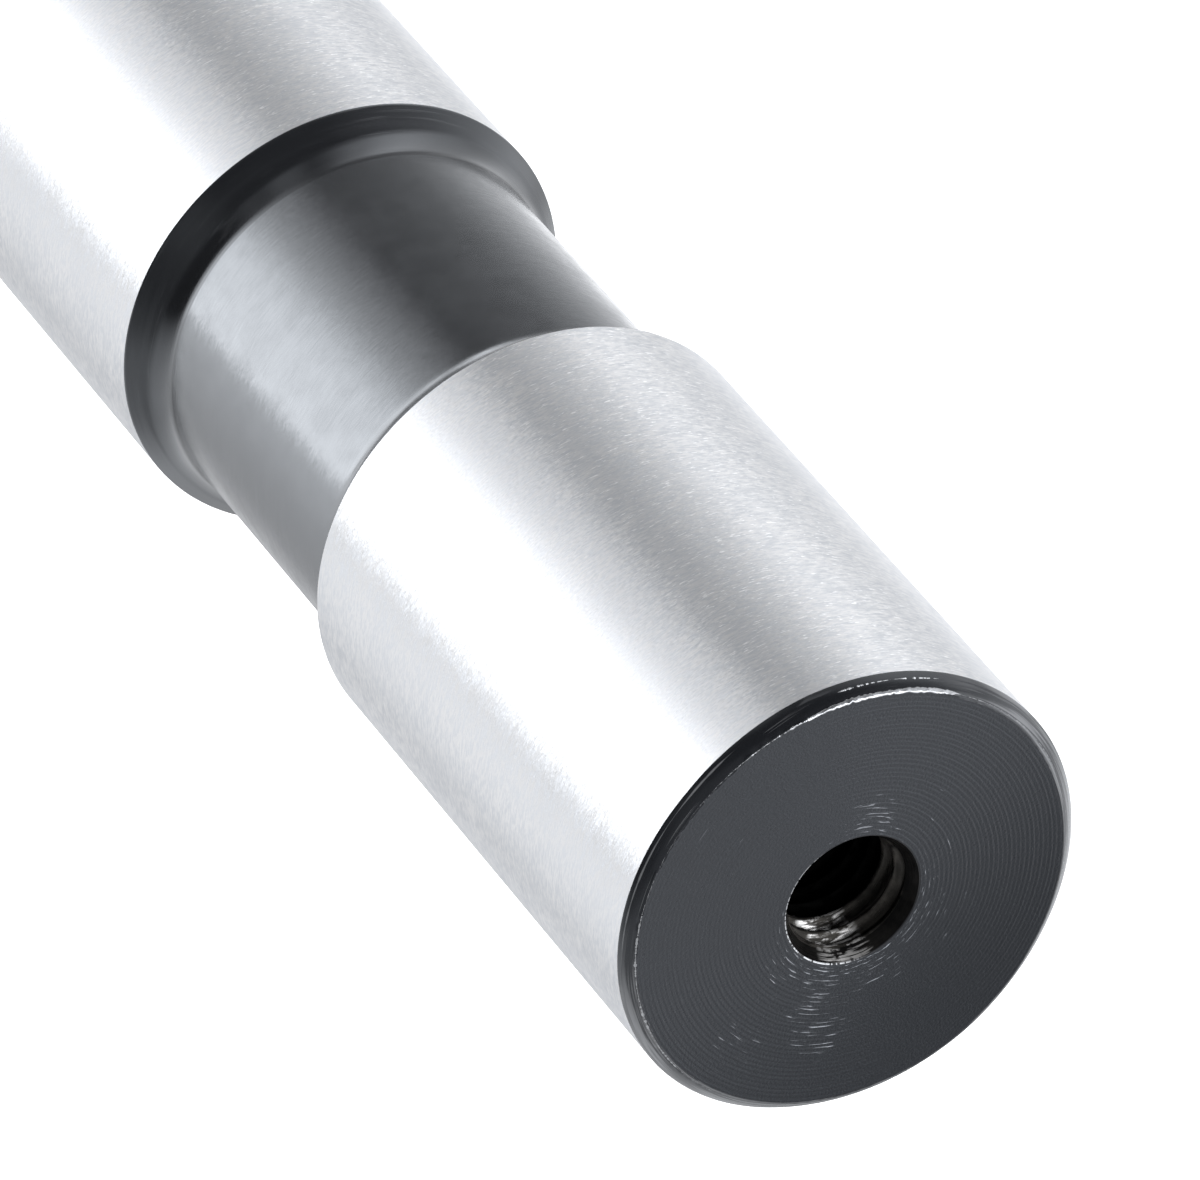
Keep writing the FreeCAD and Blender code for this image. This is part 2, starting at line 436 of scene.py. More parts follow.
def setSocket(tree, node, name, value):
    socket = node.inputs[int(name[2:])] if name.startswith("In") and name[2:].isdigit() else node.inputs[name]
    if isinstance(value, bpy.types.NodeSocket):
        tree.links.new(value, socket)
    else:
        socket.default_value = value


def mathNode(tree, operation, first, second=0.0, clamp=False):
    return addNode(tree, "Math", operation=operation, use_clamp=clamp, In0=first, In1=second).outputs[0]


def vectorNode(tree, operation, first, **inputs):
    return addNode(tree, "VectorMath", operation=operation, In0=first, **inputs).outputs


def objectPlace(tree):
    return addNode(tree, "TexCoord").outputs["Object"]


def acrossAxis(tree, scale=1 / mm):
    # the place across the axis, without its height, in mm, or in metres at a scale of 1
    return vectorNode(tree, "MULTIPLY", objectPlace(tree), In1=(scale, scale, 0))[0]


def spanNode(tree, value, low, high, toLow=0.0, toHigh=1.0):
    # value carried from one span to another with soft ends
    node = addNode(tree, "MapRange", interpolation_type="SMOOTHSTEP", Value=value)
    node.inputs["From Min"].default_value, node.inputs["From Max"].default_value = low, high
    node.inputs["To Min"].default_value, node.inputs["To Max"].default_value = toLow, toHigh
    return node.outputs[0]


def newGroup(name, inputs, outputs):
    group = bpy.data.node_groups.new(name, "ShaderNodeTree")
    for socket, default in inputs.items():
        made = group.interface.new_socket(socket, in_out="INPUT", socket_type="NodeSocketFloat")
        made.default_value = default
    for socket, kind in outputs.items():
        group.interface.new_socket(socket, in_out="OUTPUT", socket_type="NodeSocket" + kind)
    return group, group.nodes.new("NodeGroupInput").outputs, group.nodes.new("NodeGroupOutput").inputs


def makeLatheMarks():
    # marks that run round the axis: noise read at the direction from the axis, stretched round it,
    # and at the height and radius, packed close across the marks
    group, given, wanted = newGroup(
        "latheMarks",
        {"By height": 1.0, "By radius": 0.0, "Per mm": 10.0, "Around": 4.0, "Detail": 2.0, "Seed": 0.0},
        {"Marks": "Float"},
    )
    flat = acrossAxis(group, 1.0)
    radius = vectorNode(group, "LENGTH", flat)["Value"]
    outward = vectorNode(group, "NORMALIZE", flat)[0]
    around = vectorNode(group, "SCALE", outward, Scale=given["Around"])[0]
    height = addNode(group, "SeparateXYZ", Vector=objectPlace(group)).outputs["Z"]
    byHeight = mathNode(group, "MULTIPLY", height, given["By height"])
    byRadius = mathNode(group, "MULTIPLY", radius, given["By radius"])
    across = mathNode(group, "MULTIPLY", mathNode(group, "ADD", byHeight, byRadius), 1 / mm)
    across = mathNode(group, "ADD", mathNode(group, "MULTIPLY", across, given["Per mm"]), given["Seed"])
    lifted = addNode(group, "CombineXYZ", Z=across).outputs[0]
    spot = vectorNode(group, "ADD", around, In1=lifted)[0]
    noise = addNode(group, "TexNoise", Vector=spot, Scale=1.0, Detail=given["Detail"], Roughness=0.6)
    group.links.new(noise.outputs["Fac"], wanted["Marks"])
    return group


def makeSway():
    # tilts the surface a little round the axis where the marks say, so that a reflected edge is ragged
    group, given, wanted = newGroup("sway", {"Marks": 0.5, "Tilt": 0.1}, {"Normal": "Vector"})
    parts = addNode(group, "SeparateXYZ", Vector=objectPlace(group)).outputs
    backward = mathNode(group, "MULTIPLY", parts["Y"], -1.0)
    across = addNode(group, "CombineXYZ", X=backward, Y=parts["X"]).outputs[0]
    across = vectorNode(group, "NORMALIZE", across)[0]
    size = mathNode(group, "MULTIPLY", mathNode(group, "SUBTRACT", given["Marks"], 0.5), given["Tilt"])
    shift = vectorNode(group, "SCALE", across, Scale=size)[0]
    tilted = vectorNode(group, "ADD", addNode(group, "NewGeometry").outputs["Normal"], In1=shift)[0]
    group.links.new(vectorNode(group, "NORMALIZE", tilted)[0], wanted["Normal"])
    return group


def makeFacingRings():
    # the facing tool's spiral: a saw-tooth of the radius less the turn, rising outwards and falling
    # back steeply, its depth changing from ring to ring
    group, given, wanted = newGroup("facingRings", {"Pitch mm": 0.2, "Wander": 0.4}, {"Height": "Float"})
    flat = acrossAxis(group)
    radius = vectorNode(group, "LENGTH", flat)["Value"]
    parts = addNode(group, "SeparateXYZ", Vector=flat).outputs
    turn = mathNode(group, "DIVIDE", mathNode(group, "ARCTAN2", parts["Y"], parts["X"]), 2 * pi)
    slow = addNode(group, "TexNoise", noise_dimensions="1D", W=radius, Scale=1.3, Detail=2.0).outputs["Fac"]
    cycles = mathNode(group, "SUBTRACT", mathNode(group, "DIVIDE", radius, given["Pitch mm"]), turn)
    cycles = mathNode(group, "ADD", cycles, mathNode(group, "MULTIPLY", slow, given["Wander"]))
    share = mathNode(group, "FRACT", cycles)
    rise = mathNode(group, "DIVIDE", share, 0.62)
    fall = mathNode(group, "DIVIDE", mathNode(group, "SUBTRACT", 1.0, share), 0.38)
    wave = addNode(group, "Math", operation="SMOOTH_MIN", In0=rise, In1=fall, In2=0.3).outputs[0]
    uneven = addNode(group, "TexNoise", noise_dimensions="1D", W=radius, Scale=3.1, Detail=2.0).outputs["Fac"]
    depth = spanNode(group, uneven, 0.35, 0.65, 0.6, 1.0)
    group.links.new(mathNode(group, "MULTIPLY", wave, depth), wanted["Height"])
    return group


def makeClouds():
    # soft uneven patches, from low to high
    group, given, wanted = newGroup("clouds", {"Per mm": 1.0, "Low": 0.4, "High": 0.6}, {"Mask": "Float"})
    spot = vectorNode(group, "SCALE", objectPlace(group), Scale=1 / mm)[0]
    noise = addNode(group, "TexNoise", Vector=spot, Scale=given["Per mm"], Detail=4.0, Roughness=0.62)
    over = mathNode(group, "SUBTRACT", noise.outputs["Fac"], given["Low"])
    span = mathNode(group, "SUBTRACT", given["High"], given["Low"])
    group.links.new(mathNode(group, "DIVIDE", over, span, clamp=True), wanted["Mask"])
    return group


def makeTowards():
    # full on the side of the arbor that faces along X, Y and fading to either side of it
    group, given, wanted = newGroup(
        "towards", {"X": 0.0, "Y": -1.0, "None at": 0.5, "Full at": 0.9}, {"Mask": "Float"}
    )
    outward = vectorNode(group, "NORMALIZE", acrossAxis(group, 1.0))[0]
    side = addNode(group, "CombineXYZ", X=given["X"], Y=given["Y"]).outputs[0]
    share = vectorNode(group, "DOT_PRODUCT", outward, In1=side)["Value"]
    node = addNode(group, "MapRange", interpolation_type="SMOOTHSTEP", Value=share)
    setSocket(group, node, "From Min", given["None at"])
    setSocket(group, node, "From Max", given["Full at"])
    group.links.new(node.outputs[0], wanted["Mask"])
    return group


def makeNearSpot():
    # full at a spot seen along the arbor's axis, fading out to its size, all in mm
    group, given, wanted = newGroup("nearSpot", {"X mm": 0.0, "Y mm": 0.0, "Size mm": 1.0}, {"Mask": "Float"})
    centre = addNode(group, "CombineXYZ", X=given["X mm"], Y=given["Y mm"]).outputs[0]
    away = vectorNode(group, "DISTANCE", acrossAxis(group), In1=centre)["Value"]
    share = mathNode(group, "DIVIDE", away, given["Size mm"])
    group.links.new(spanNode(group, share, 1.0, 0.3), wanted["Mask"])
    return group


def makeWornEdge():
    # a bare line at a known radius: its width in mm grows where the side is full and is ragged
    group, given, wanted = newGroup(
        "wornEdge",
        {"Marks": 0.5, "Teeth": 0.5, "Side": 0.0, "Edge mm": 9.4, "Width mm": 0.03, "Side mm": 0.1},
        {"Bare": "Float"},
    )
    radius = vectorNode(group, "LENGTH", acrossAxis(group))["Value"]
    uneven = spanNode(group, given["Marks"], 0.38, 0.62, 0.3, 1.0)
    wider = mathNode(group, "MULTIPLY", given["Side"], given["Side mm"])
    width = mathNode(group, "ADD", given["Width mm"], wider)
    width = mathNode(group, "MULTIPLY", width, mathNode(group, "MULTIPLY", uneven, given["Teeth"]))
    away = mathNode(group, "ABSOLUTE", mathNode(group, "SUBTRACT", radius, given["Edge mm"]))
    inside = mathNode(group, "DIVIDE", mathNode(group, "SUBTRACT", width, away), 0.02, clamp=True)
    group.links.new(inside, wanted["Bare"])
    return group


latheMarks, facingRings, clouds = makeLatheMarks(), makeFacingRings(), makeClouds()
sway, wornEdge, towards, nearSpot = makeSway(), makeWornEdge(), makeTowards(), makeNearSpot()


def useGroup(tree, group, **values):
    node = addNode(tree, "Group", node_tree=group)
    for name, value in values.items():
        setSocket(tree, node, name.replace("_", " "), value)
    return node.outputs


def strongest(tree, first, *others):
    for other in others:
        first = mathNode(tree, "MAXIMUM", first, other)
    return first


def blendMarks(tree, first, second, share):
    # this share of the first and the rest of the second
    rest = mathNode(tree, "MULTIPLY", second, 1 - share)
    return mathNode(tree, "ADD", mathNode(tree, "MULTIPLY", first, share), rest)


def facing(tree, *arcs):
    # full where the arbor faces these directions, each the degrees round it and the half width
    masks = []
    for middle, half in arcs:
        x, y = sin(radians(middle)), -cos(radians(middle))
        ends = {"None_at": cos(radians(half)), "Full_at": cos(radians(half * 0.6))}
        masks.append(useGroup(tree, towards, X=x, Y=y, **ends)["Mask"])
    return strongest(tree, *masks)


def newFinish(name, **settings):
    # a material with its Principled shader; keywords are that shader's own constant sockets
    material = bpy.data.materials.new(name)
    material.use_nodes = True
    tree = material.node_tree
    shader = tree.nodes["Principled BSDF"]
    for socket, value in settings.items():
        shader.inputs[socket.replace("_", " ")].default_value = value
    tangent = addNode(tree, "Tangent", direction_type="UV_MAP", uv_map="turned")
    tree.links.new(tangent.outputs[0], shader.inputs["Tangent"])
    return material, tree, shader


def mixColour(tree, share, first, second):
    node = addNode(tree, "Mix", data_type="RGBA")
    for name, value in (("Factor_Float", share), ("A_Color", first), ("B_Color", second)):
        socket = next(s for s in node.inputs if s.identifier == name)
        if isinstance(value, bpy.types.NodeSocket):
            tree.links.new(value, socket)
        else:
            socket.default_value = (*value, 1.0) if name != "Factor_Float" else value
    return next(s for s in node.outputs if s.identifier == "Result_Color")


def bumpNode(tree, height, depth, normal=None):
    # depth in mm for a height of 1
    node = addNode(tree, "Bump", Height=height, Strength=1.0, Distance=depth * mm)
    if normal:
        tree.links.new(normal, node.inputs["Normal"])
    return node.outputs[0]


def wearThrough(tree, shader, bare, film, steel):
    # the film's colour, worn through to metal where bare is full
    tree.links.new(mixColour(tree, bare, film, steel), shader.inputs["Base Color"])
    tree.links.new(bare, shader.inputs["Metallic"])


groundLook = {
    "bright": (0.79, 0.785, 0.78),
    "dull": (0.64, 0.655, 0.675),
    "roughness": (0.3, 0.39),
    "sway": 0.32,
    "scratch": 0.006,  # mm
    # colour of the painted glints, white
    "paintedGlint": (1.0, 1.0, 1.0),
}
oxideLook = {"film": (0.006, 0.0065, 0.008), "bare": (0.62, 0.63, 0.65), "sheen": (0.955, 1.0, 1.045, 1.0)}
rimLook = {
    "rubbed": 0.085,  # share of steel showing on the flanks
    # bare lines round the rim: radius, width and what it gains on its bare sides, in mm, and those
    # sides, each the degrees round the arbor and the half width
    "rolled": (9.51, 0.0, 0.1, [(-41, 22)]),
    "edge": (9.48, 0.01, 0.04, [(-14, 16), (68, 30)]),
    "scored": (9.85, 0.0, 0.03, [(-42, 16)]),
    "foot": (9.9, 0.0, 0.035, [(28, 34)]),
}
neckLook = {"roughness": (0.17, 0.24), "sway": 0.17, "scratch": 0.005}
faceLook = {
    "roughness": (0.27, 0.38),
    "ring": 0.013,  # mm
    "scratch": 0.006,
    "grain": 0.012,
    "bare": (0.48, 0.5, 0.54),
    "paintedSideShade": 0.036,  # share of steel shown through the film at -Y, none at +Y: painted light and shade across the face
    "sheen": (0.93, 1.0, 1.08, 1.0),
}
# where the face is rubbed bright: X, Y and size in mm
rubbedSpots = [
    (0.0, 1.2, 5.5),
    (-2.7, -2.6, 1.9),
    (3.6, 0.2, 1.5),
    (2.9, 2.1, 1.8),
    (3.9, 3.0, 1.7),
    (4.6, 4.4, 2.0),
    (7.3, 1.8, 1.8),
]
boreLook = {
    # near black, the painted shade deep in the hole
    "paintedDeepShade": (0.0005, 0.0005, 0.0005),
    "film": (0.003, 0.003, 0.003),
    "oil": (0.012, 0.0095, 0.007),
    "bare": (0.62, 0.61, 0.6),
    "sheen": (1.0, 0.94, 0.84, 1.0),
}


def makeGround():
    # ground lands: short fine scratches round the shank, so the sheen stretches along it
    material, tree, shader = newFinish(
        "groundSteel",
        Metallic=1.0,
        Anisotropic=0.9,
        Anisotropic_Rotation=0.25,
        Specular_Tint=(0.5, 0.5, 0.5, 1.0),
    )
    fine = useGroup(tree, latheMarks, Per_mm=12.0, Around=28.0)["Marks"]
    broad = useGroup(tree, latheMarks, Per_mm=7.0, Around=14.0, Seed=5.0)["Marks"]
    dashes = useGroup(tree, latheMarks, Per_mm=14.0, Around=24.0, Seed=8.0)["Marks"]
    patches = useGroup(tree, clouds, Per_mm=0.35, Low=0.3, High=0.7)["Mask"]
    both = blendMarks(tree, fine, broad, 0.6)
    patches = spanNode(tree, patches, 0, 1, 0.7, 1)
    share = mathNode(tree, "MULTIPLY", spanNode(tree, both, 0.38, 0.62), patches)
    # painted glints: white dashes mixed into the colour, only on the side that faces the light
    dashes = mathNode(tree, "MULTIPLY", spanNode(tree, dashes, 0.59, 0.7), facing(tree, (-40, 34)))
    colour = mixColour(tree, share, groundLook["dull"], groundLook["bright"])
    tree.links.new(mixColour(tree, dashes, colour, groundLook["paintedGlint"]), shader.inputs["Base Color"])
    tree.links.new(spanNode(tree, both, 0.3, 0.7, *groundLook["roughness"]), shader.inputs["Roughness"])
    grain = useGroup(tree, latheMarks, Per_mm=16.0, Around=70.0, Seed=12.0)["Marks"]
    tilts = blendMarks(tree, both, grain, 0.35)
    swayed = useGroup(tree, sway, Marks=tilts, Tilt=groundLook["sway"])["Normal"]
    tree.links.new(bumpNode(tree, fine, groundLook["scratch"], swayed), shader.inputs["Normal"])
    return material


def makeNeck():
    # relieved neck: black oxide over turned steel, satin, with soft clouds in the film
    material, tree, shader = newFinish(
        "oxideNeck", IOR=2.1, Anisotropic=0.4, Anisotropic_Rotation=0.25, Specular_Tint=oxideLook["sheen"]
    )
    marks = useGroup(tree, latheMarks, Per_mm=7.0, Around=9.0)["Marks"]
    patches = useGroup(tree, clouds, Per_mm=0.8, Low=0.3, High=0.7)["Mask"]
    shader.inputs["Base Color"].default_value = (*oxideLook["film"], 1)
    tree.links.new(spanNode(tree, patches, 0, 1, *neckLook["roughness"]), shader.inputs["Roughness"])
    grain = useGroup(tree, latheMarks, Per_mm=13.0, Around=40.0, Seed=12.0)["Marks"]
    tilts = blendMarks(tree, marks, grain, 0.4)
    swayed = useGroup(tree, sway, Marks=tilts, Tilt=neckLook["sway"])["Normal"]
    tree.links.new(bumpNode(tree, marks, neckLook["scratch"], swayed), shader.inputs["Normal"])
    return material


def oxideShade(tree):
    # smooth oxide with a few fine turning lines across the 45 degree surfaces
    marks = useGroup(tree, latheMarks, By_radius=2.2, Per_mm=8.0, Around=2.5)["Marks"]
    lines = useGroup(tree, latheMarks, By_radius=2.2, Per_mm=11.0, Around=2.0, Seed=9.0)["Marks"]
    lines = spanNode(tree, lines, 0.62, 0.72)
    height = mathNode(tree, "ADD", marks, mathNode(tree, "MULTIPLY", lines, 0.5))
    return height, spanNode(tree, marks, 0.3, 0.7, 0.14, 0.24), lines


def makeShoulder():
    # chamfers and corner radii: the same oxide, smoother
    material, tree, shader = newFinish("oxideShoulder", IOR=1.75, Specular_Tint=oxideLook["sheen"])
    height, roughness, lines = oxideShade(tree)
    share = mathNode(tree, "MULTIPLY", lines, 0.03)
    tree.links.new(mixColour(tree, share, oxideLook["film"], oxideLook["bare"]), shader.inputs["Base Color"])
    tree.links.new(roughness, shader.inputs["Roughness"])
    tree.links.new(bumpNode(tree, height, 0.003), shader.inputs["Normal"])
    return material


def wornLine(tree, line, marks, teeth=1.0, broken=None):
    radius, width, gained, sides = rimLook[line]
    side = facing(tree, *sides)
    if broken:
        side = mathNode(tree, "MULTIPLY", side, broken)
    sizes = {"Edge_mm": radius, "Width_mm": width, "Side_mm": gained}
    return useGroup(tree, wornEdge, Marks=marks, Teeth=teeth, Side=side, **sizes)["Bare"]


def makeRim():
    # the faced end's rim: the same oxide, its inner edge rolled over and rubbed through to bare
    # steel on one side, with a thin broken line along the chamfer
    material, tree, shader = newFinish("wornRim", IOR=1.5, Specular_Tint=oxideLook["sheen"])
    height, roughness, lines = oxideShade(tree)
    slow = useGroup(tree, latheMarks, Per_mm=0.01, Around=5.0, Seed=2.0)["Marks"]
    teeth = useGroup(tree, latheMarks, Per_mm=2.0, Around=60.0, Seed=4.0)["Marks"]
    teeth = spanNode(tree, teeth, 0.35, 0.65, 0.1, 1.4)
    dashes = useGroup(tree, latheMarks, Per_mm=0.5, Around=55.0, Seed=6.0)["Marks"]
    dashes = spanNode(tree, dashes, 0.4, 0.55)
    streaks = useGroup(tree, latheMarks, By_radius=2.2, Per_mm=8.0, Around=2.0, Seed=5.0)["Marks"]
    torn = mathNode(tree, "MULTIPLY", teeth, 0.22)
    torn = mathNode(tree, "ADD", spanNode(tree, slow, 0.4, 0.6, 0.65, 0.9), torn)
    rolled = wornLine(tree, "rolled", 0.62, torn)
    edge = wornLine(tree, "edge", slow, teeth)
    scored = wornLine(tree, "scored", slow, broken=dashes)
    foot = mathNode(tree, "MULTIPLY", wornLine(tree, "foot", slow), 0.2)
    flanks = mathNode(tree, "SUBTRACT", 1.0, facing(tree, (-3, 76)))
    flanks = mathNode(tree, "MULTIPLY", flanks, spanNode(tree, streaks, 0.42, 0.62, 0.2, 2.2))
    flanks = mathNode(tree, "MULTIPLY", flanks, rimLook["rubbed"])
    turned = mathNode(tree, "MULTIPLY", lines, 0.1)
    bare = strongest(tree, rolled, scored, edge, foot, flanks, turned)
    wearThrough(tree, shader, bare, oxideLook["film"], oxideLook["bare"])
    tree.links.new(roughness, shader.inputs["Roughness"])
    fine = bumpNode(tree, height, 0.003)
    tree.links.new(bumpNode(tree, scored, 0.02, fine), shader.inputs["Normal"])
    return material


def makeFace():
    # faced ends: the facing tool's fine rings under the oxide, with rubbed specks in a few places
    material, tree, shader = newFinish(
        "oxideFace", IOR=1.41, Anisotropic=0.65, Anisotropic_Rotation=0.25, Specular_Tint=faceLook["sheen"]
    )
    rings = useGroup(tree, facingRings)["Height"]
    marks = useGroup(tree, latheMarks, By_height=0.0, By_radius=1.0, Per_mm=14.0, Around=16.0)["Marks"]
    grain = useGroup(tree, clouds, Per_mm=9.0, Low=0.3, High=0.7)["Mask"]
    specks = useGroup(tree, latheMarks, By_height=0.0, By_radius=1.0, Per_mm=20.0, Around=6.0, Seed=3.0)
    spots = [useGroup(tree, nearSpot, X_mm=x, Y_mm=y, Size_mm=size)["Mask"] for x, y, size in rubbedSpots]
    rubbed = mathNode(tree, "MULTIPLY", strongest(tree, *spots), 0.17)
    specks = mathNode(tree, "ADD", specks["Marks"], rubbed)
    specks = mathNode(tree, "MULTIPLY", spanNode(tree, specks, 0.73, 0.85), spanNode(tree, rings, 0.3, 0.7))
    # painted light and shade: the face is lighter towards -Y and darker towards +Y, by more steel showing
    # through the film there
    across = addNode(tree, "SeparateXYZ", Vector=objectPlace(tree)).outputs["Y"]
    paintedSideShade = mathNode(tree, "MULTIPLY", spanNode(tree, across, 9 * mm, -6 * mm), faceLook["paintedSideShade"])
    bare = mathNode(tree, "ADD", specks, paintedSideShade, clamp=True)
    wearThrough(tree, shader, bare, oxideLook["film"], faceLook["bare"])
    tree.links.new(spanNode(tree, grain, 0, 1, *faceLook["roughness"]), shader.inputs["Roughness"])
    depth = spanNode(tree, facing(tree, (-95, 88), (112, 55)), 0, 1, 0.35, 1)
    ringed = bumpNode(tree, mathNode(tree, "MULTIPLY", rings, depth), faceLook["ring"])
    scratched = bumpNode(tree, marks, faceLook["scratch"], ringed)
    tree.links.new(bumpNode(tree, grain, faceLook["grain"], scratched), shader.inputs["Normal"])
    return material


def makeLip():
    # the hole's mouth: a fine bare line in dashes on one side
    material, tree, shader = newFinish("wornLip", IOR=1.5)
    dashes = useGroup(tree, latheMarks, Per_mm=1.0, Around=18.0, Seed=1.0)["Marks"]
    bare = mathNode(tree, "MULTIPLY", spanNode(tree, dashes, 0.45, 0.53), facing(tree, (75, 85)))
    wearThrough(tree, shader, bare, oxideLook["film"], oxideLook["bare"])
    shader.inputs["Roughness"].default_value = 0.3
    return material


def boreWear(tree, shader, shown, oily):
    # dark film with oily smears, and worn bare streaks kept to the one side that catches the light, as
    # painted glints
    streaks = useGroup(tree, latheMarks, Per_mm=12.0, Around=2.5, Seed=7.0)["Marks"]
    smears = useGroup(tree, clouds, Per_mm=0.8, Low=0.4, High=0.65)["Mask"]
    smears = mathNode(tree, "MULTIPLY", smears, oily)
    broken = useGroup(tree, clouds, Per_mm=2.2, Low=0.42, High=0.54)["Mask"]
    # painted glints: bare steel only on the side of the hole that catches the light
    rubbed = mathNode(tree, "MULTIPLY", facing(tree, (143, 27)), mathNode(tree, "MULTIPLY", broken, shown))
    bare = mathNode(tree, "MULTIPLY", spanNode(tree, streaks, 0.42, 0.6), rubbed)
    bare = mathNode(tree, "MAXIMUM", bare, mathNode(tree, "MULTIPLY", smears, 0.04))
    film = mixColour(tree, smears, boreLook["film"], boreLook["oil"])
    wearThrough(tree, shader, bare, film, boreLook["bare"])
    tree.links.new(spanNode(tree, streaks, 0.35, 0.65, 0.38, 0.18), shader.inputs["Roughness"])
    tree.links.new(bumpNode(tree, streaks, 0.01), shader.inputs["Normal"])


def makeLead():
    # the short cone that leads the tap in, darker than the thread
    material, tree, shader = newFinish("leadCone", IOR=1.12, Anisotropic=0.5, Anisotropic_Rotation=0.25)
    boreWear(tree, shader, 0.5, 0.15)
    return material


def makeTapped():
    # the open turns of the thread
    material, tree, shader = newFinish(
        "tappedWall",
        IOR=1.38,
        Anisotropic=0.5,
        Anisotropic_Rotation=0.25,
        Specular_Tint=boreLook["sheen"],
    )
    boreWear(tree, shader, 0.9, 0.9)
    return material


def makeBore():
    # deeper in, where little light comes: painted shade, a near-black film with almost no reflection
    material, tree, shader = newFinish("boreWallPaintedShade", IOR=1.03, Roughness=0.5)
    streaks = useGroup(tree, latheMarks, Per_mm=6.0, Around=4.0)["Marks"]
    share = spanNode(tree, streaks, 0.3, 0.7)
    tree.links.new(mixColour(tree, share, boreLook["paintedDeepShade"], boreLook["film"]), shader.inputs["Base Color"])
    return material


finishMakers = {
    "ground": makeGround,
    "neck": makeNeck,
    "shoulder": makeShoulder,
    "rim": makeRim,
    "face": makeFace,
    "lip": makeLip,
    "lead": makeLead,
    "tapped": makeTapped,
    "bore": makeBore,
}
arbor = buildArbor()
print("arbor turned:", sum(len(face.vertices) - 2 for face in arbor.data.polygons), "triangles")

# Floor and studio
studio = {
    "tint": (0.985, 1.0, 1.03),
    # how bright the studio is at six heights by the direction round the arbor, in degrees: 0 is
    # towards the camera and positive is towards +X; set render by render, until the
    # polished steel mirrored what it does in the photo
    "rings": {
        "below": {-180: 0.5, -90: 0.8, 0: 1.1, 60: 1.2, 180: 0.5},
        "table": {
            -180: 0.3, -145: 0.4, -130: 0.9, -110: 1.3, -90: 2.0, -70: 3.4, -60: 3.4, -50: 2.7, -40: 1.8,
            -30: 2.8, -20: 3.4, 0: 3.4, 20: 3.8, 60: 3.2, 70: 0.8, 80: 3.0, 90: 2.2, 100: 1.5, 120: 1.2,
            160: 1.1, 180: 0.3,
        },
        "under": {
            -180: 0.4, -174: 1.1, -168: 1.9, -160: 1.85, -150: 1.5, -140: 1.4, -130: 1.2, -110: 0.86,
            -100: 0.66, -90: 0.5, -80: 0.42, -60: 0.34, -48: 0.3, -38: 0.3, -30: 0.55, -20: 1.0, -10: 1.5,
            0: 2.2, 10: 3.4, 20: 4.25, 30: 4.7, 62: 4.8, 68: 2.4, 80: 2.05, 100: 1.38, 120: 1.0, 130: 0.92,
            160: 0.95, 170: 0.85, 180: 0.4,
        },
        "level": {
            -180: 0.2, -172: 1.0, -162: 1.7, -152: 1.5, -142: 1.05, -135: 1.6, -127: 1.8, -118: 1.35,
            -110: 1.15, -93: 1.55, -85: 2.05, -77: 2.27, -68: 2.05, -60: 1.38, -51: 1.0, -42: 0.4,
            -34: 0.2, -25: 0.56, -17: 0.67, -9: 0.28, 0: 0.42, 12: 0.1, 60: 0.05, 68: 0.7, 77: 1.15,
            89: 1.42, 101: 1.45, 110: 1.27, 118: 1.55, 130: 1.85, 145: 1.3, 180: 0.2,
        },
        "above": {
            -180: 0.55, -165: 0.75, -150: 2.0, -125: 2.4, -112: 1.2, -95: 0.7, -80: 0.45, -50: 0.12,
            5: 0.1, 18: 0.26, 30: 0.3, 45: 0.18, 60: 0.16, 75: 0.4, 85: 0.85, 100: 0.85, 130: 0.5,
            155: 0.5, 180: 0.55,
        },
        "high": {
            -180: 0.5, -150: 1.0, -125: 2.6, -115: 3.4, -70: 3.4, -55: 0.4, 0: 0.3, 120: 0.4, 180: 0.5,
        },
    },
    # degrees above the horizon where one ring gives way to the next
    "steps": [(-80, -73), (-67, -59), (-42, -33), (4, 18), (42, 52)],
    "brightest": 5.0,
}
floorLook = {"half": 3.0, "paper": (0.8, 0.8, 0.8, 1), "glow": 0.5}  # half its width, in metres
lampLook = {"size": 0.8, "energy": 14.0, "height": 1.2}  # metres and watts


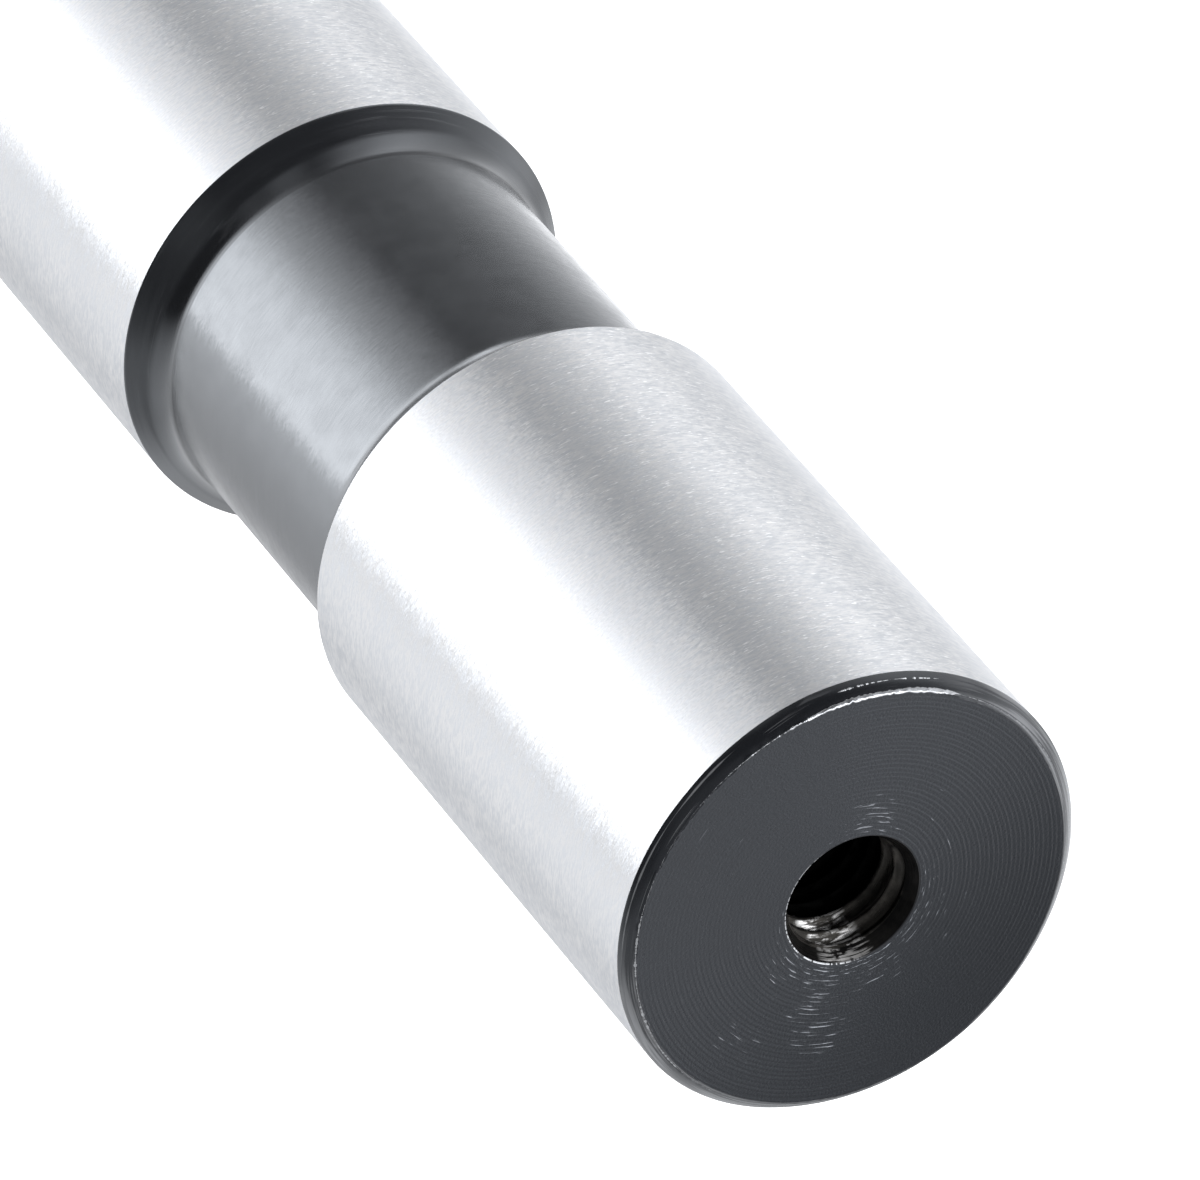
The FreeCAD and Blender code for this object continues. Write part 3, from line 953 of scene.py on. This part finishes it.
def buildStudio(plan):
    world = bpy.data.worlds.new("studio")
    world.use_nodes = True
    bpy.context.scene.world = world
    tree = world.node_tree
    tree.nodes.clear()
    way = addNode(tree, "TexCoord").outputs["Generated"]
    parts = addNode(tree, "SeparateXYZ", Vector=way).outputs
    around = mathNode(tree, "ARCTAN2", parts["X"], mathNode(tree, "MULTIPLY", parts["Y"], -1.0))
    around = mathNode(tree, "ADD", mathNode(tree, "DIVIDE", around, 2 * pi), 0.5)
    height = mathNode(tree, "MULTIPLY", mathNode(tree, "ARCSINE", parts["Z"]), 180 / pi)
    shades = []
    for stops in plan["rings"].values():
        ramp = addNode(tree, "ValToRGB", Fac=around)  # holds at most 32 stops
        elements = ramp.color_ramp.elements
        while len(elements) < len(stops):
            elements.new(0.5)
        for element, (angle, bright) in zip(elements, stops.items()):
            element.position = angle / 360 + 0.5
            element.color = (*[bright / plan["brightest"]] * 3, 1)
        shades.append(ramp.outputs["Color"])
    level = shades[0]
    for shade, step in zip(shades[1:], plan["steps"]):
        level = mixColour(tree, spanNode(tree, height, *step), level, shade)
    tinted = vectorNode(tree, "MULTIPLY", level, In1=plan["tint"])[0]
    seen = addNode(tree, "LightPath").outputs["Is Camera Ray"]
    light = addNode(tree, "Background", Color=tinted, Strength=plan["brightest"])
    white = addNode(tree, "Background", Color=(1, 1, 1, 1), Strength=1.0)
    mix = addNode(tree, "MixShader", In0=seen, In1=light.outputs[0], In2=white.outputs[0])
    output = addNode(tree, "OutputWorld")
    tree.links.new(mix.outputs[0], output.inputs["Surface"])


def buildFloor(look):
    half = look["half"]
    corners = [(-half, -half, 0), (half, -half, 0), (half, half, 0), (-half, half, 0)]
    mesh = bpy.data.meshes.new("floor")
    mesh.from_pydata(corners, [], [(0, 1, 2, 3)])
    floor = bpy.data.objects.new("floor", mesh)
    bpy.context.scene.collection.objects.link(floor)
    material = bpy.data.materials.new("whitePaper")
    material.use_nodes = True
    tree = material.node_tree
    tree.nodes.clear()
    paper = addNode(tree, "BsdfDiffuse", Color=look["paper"])
    glow = addNode(tree, "Emission", Color=(1, 1, 1, 1), Strength=look["glow"])
    lit = addNode(tree, "AddShader", In0=paper.outputs[0], In1=glow.outputs[0])
    seen = addNode(tree, "LightPath").outputs["Is Camera Ray"]
    mix = addNode(tree, "MixShader", In0=seen, In1=paper.outputs[0], In2=lit.outputs[0])
    output = addNode(tree, "OutputMaterial")
    tree.links.new(mix.outputs[0], output.inputs["Surface"])
    mesh.materials.append(material)
    floor.visible_glossy = False  # polished steel mirrors the studio below the horizon too


def buildLamp(look):
    lamp = bpy.data.lights.new("overhead", "AREA")
    lamp.shape, lamp.size, lamp.energy = "DISK", look["size"], look["energy"]
    overhead = bpy.data.objects.new("overhead", lamp)
    overhead.location = (0, 0, look["height"])
    overhead.visible_glossy = False
    bpy.context.scene.collection.objects.link(overhead)


buildStudio(studio)
buildFloor(floorLook)
buildLamp(lampLook)
bpy.context.scene.view_settings.view_transform = "Standard"
print("studio lit")
